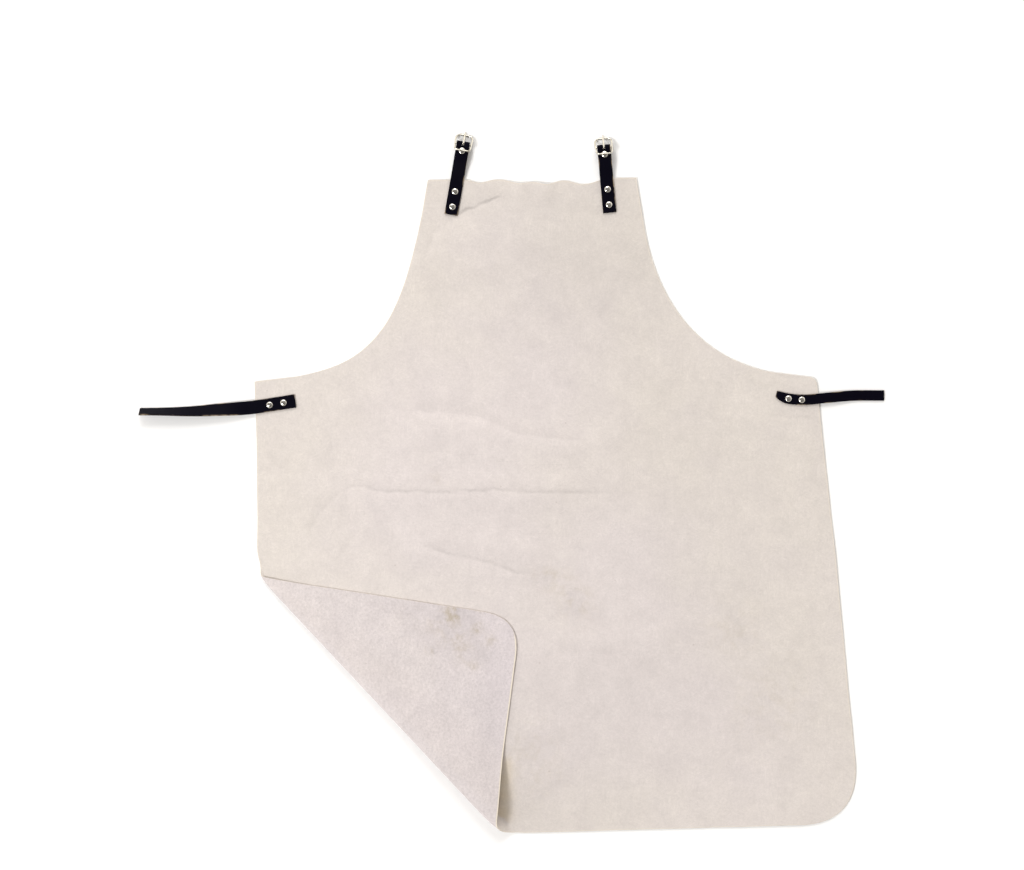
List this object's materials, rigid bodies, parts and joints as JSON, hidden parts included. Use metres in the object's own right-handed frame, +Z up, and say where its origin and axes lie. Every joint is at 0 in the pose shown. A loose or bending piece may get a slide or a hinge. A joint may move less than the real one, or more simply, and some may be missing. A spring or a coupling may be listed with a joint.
{
  "type": "split leather welding apron",
  "caption": "Bib apron of split leather for welding, laid face up with a lower corner turned back, with riveted shoulder tabs, tongue buckles and waist straps.",
  "frame": {"origin": "middle of the footprint, on the surface that the apron lies on", "axes": "+X to the right seen from above, +Y from hem to bib, +Z up from the surface"},
  "size_m": [1.116, 1.0524, 0.0317],
  "materials": {
    "split_leather": "suede-like split leather, matt",
    "black_leather": "dyed strap leather, low sheen",
    "nickel": "nickel plate, bright"
  },
  "bodies": {
    "root": {"panel": "split_leather", "shoulder_tab_left": "black_leather", "shoulder_tab_right": "black_leather", "waist_strap_left": "black_leather", "waist_strap_right": "black_leather", "tab_rivet_left_1": "nickel", "tab_rivet_left_2": "nickel", "tab_rivet_right_1": "nickel", "tab_rivet_right_2": "nickel", "waist_rivet_left_1": "nickel", "waist_rivet_left_2": "nickel", "waist_rivet_right_1": "nickel", "waist_rivet_right_2": "nickel", "buckle_rivet_left": "nickel", "buckle_rivet_right": "nickel"},
    "buckle_left": {"buckle_frame_left": "nickel"},
    "tongue_left": {"buckle_tongue_left": "nickel"},
    "buckle_right": {"buckle_frame_right": "nickel"},
    "tongue_right": {"buckle_tongue_right": "nickel"}
  },
  "joints": [
    {"name": "buckle_left_turn", "type": "hinge", "parent": "root", "child": "buckle_left", "pos_m": [-0.0729, 0.5055, 0.0096], "axis": [-0.9851, 0.1719, 0], "range_deg": [0, 125]},
    {"name": "tongue_left_turn", "type": "hinge", "parent": "buckle_left", "child": "tongue_left", "pos_m": [-0.0729, 0.5055, 0.0096], "axis": [0.9851, -0.1719, 0], "range_deg": [0, 145]},
    {"name": "buckle_right_turn", "type": "hinge", "parent": "root", "child": "buckle_right", "pos_m": [0.1375, 0.5005, 0.0096], "axis": [-0.9957, -0.0924, 0], "range_deg": [0, 125]},
    {"name": "tongue_right_turn", "type": "hinge", "parent": "buckle_right", "child": "tongue_right", "pos_m": [0.1375, 0.5005, 0.0096], "axis": [0.9957, 0.0924, 0], "range_deg": [0, 145]}
  ]
}
